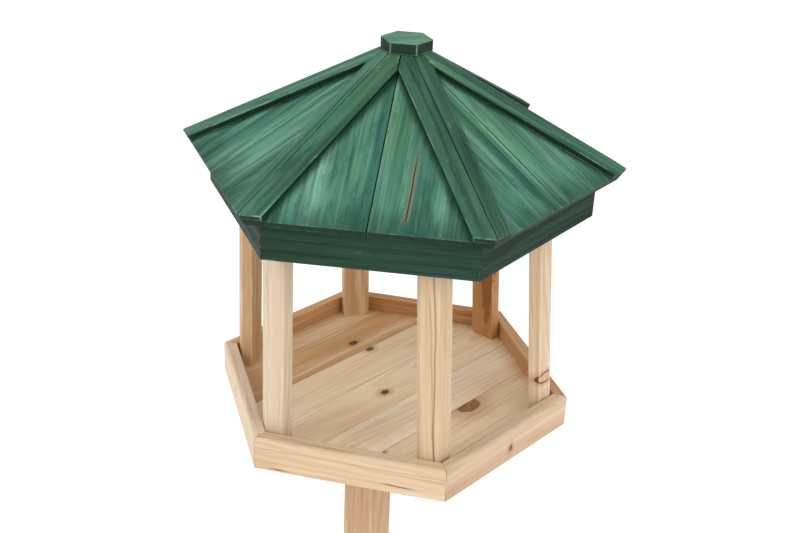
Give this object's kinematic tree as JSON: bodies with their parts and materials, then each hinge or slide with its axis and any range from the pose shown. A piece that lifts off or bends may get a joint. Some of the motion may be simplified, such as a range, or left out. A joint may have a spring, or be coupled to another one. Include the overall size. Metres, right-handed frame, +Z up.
{
  "type": "bird feeder on pole",
  "caption": "Hexagonal wooden bird feeder: green hipped board roof on posts over a railed plank tray, on a round pole with crossed, braced feet.",
  "frame": {"origin": "on the ground, below the centre of the tray and of the roof", "axes": "+Z up along the pole, -Y towards the front rail of the tray, +X to its right"},
  "size_m": [0.3338, 0.3038, 1.1],
  "materials": {
    "green_stained_fir": "thin matt green stain, grain showing through",
    "natural_fir": "planed, unfinished softwood",
    "zinc_steel": "zinc-plated nails and screws"
  },
  "bodies": {
    "root": {"roof_cap": "green_stained_fir", "roof_board_1": "green_stained_fir", "roof_board_2": "green_stained_fir", "roof_board_3": "green_stained_fir", "roof_board_4": "green_stained_fir", "roof_board_5": "green_stained_fir", "roof_board_6": "green_stained_fir", "roof_board_7": "green_stained_fir", "roof_board_8": "green_stained_fir", "roof_board_9": "green_stained_fir", "roof_board_10": "green_stained_fir", "roof_board_11": "green_stained_fir", "roof_board_12": "green_stained_fir", "hip_batten_pair_1": "green_stained_fir", "hip_batten_pair_2": "green_stained_fir", "hip_batten_pair_3": "green_stained_fir", "hip_batten_pair_4": "green_stained_fir", "hip_batten_pair_5": "green_stained_fir", "hip_batten_pair_6": "green_stained_fir", "fascia_board_1": "green_stained_fir", "fascia_board_2": "green_stained_fir", "fascia_board_3": "green_stained_fir", "fascia_board_4": "green_stained_fir", "fascia_board_5": "green_stained_fir", "fascia_board_6": "green_stained_fir", "apex_block": "natural_fir", "ceiling_batten_1": "natural_fir", "ceiling_batten_2": "natural_fir", "ceiling_batten_3": "natural_fir", "post_1": "natural_fir", "post_2": "natural_fir", "post_3": "natural_fir", "post_4": "natural_fir", "post_5": "natural_fir", "post_6": "natural_fir", "tray_rail_1": "natural_fir", "tray_rail_2": "natural_fir", "tray_rail_3": "natural_fir", "tray_rail_4": "natural_fir", "tray_rail_5": "natural_fir", "tray_rail_6": "natural_fir", "floor_plank_1": "natural_fir", "floor_plank_2": "natural_fir", "floor_plank_3": "natural_fir", "floor_plank_4": "natural_fir", "floor_plank_5": "natural_fir", "floor_plank_6": "natural_fir", "floor_cleat_1": "natural_fir", "floor_cleat_2": "natural_fir", "pole_plate": "natural_fir", "pole": "natural_fir", "foot_bar_1": "natural_fir", "foot_bar_2": "natural_fir", "foot_brace_1": "natural_fir", "foot_brace_2": "natural_fir", "foot_brace_3": "natural_fir", "foot_brace_4": "natural_fir", "roof_fixings": "zinc_steel", "tray_fixings": "zinc_steel", "base_fixings": "zinc_steel"}
  },
  "joints": []
}
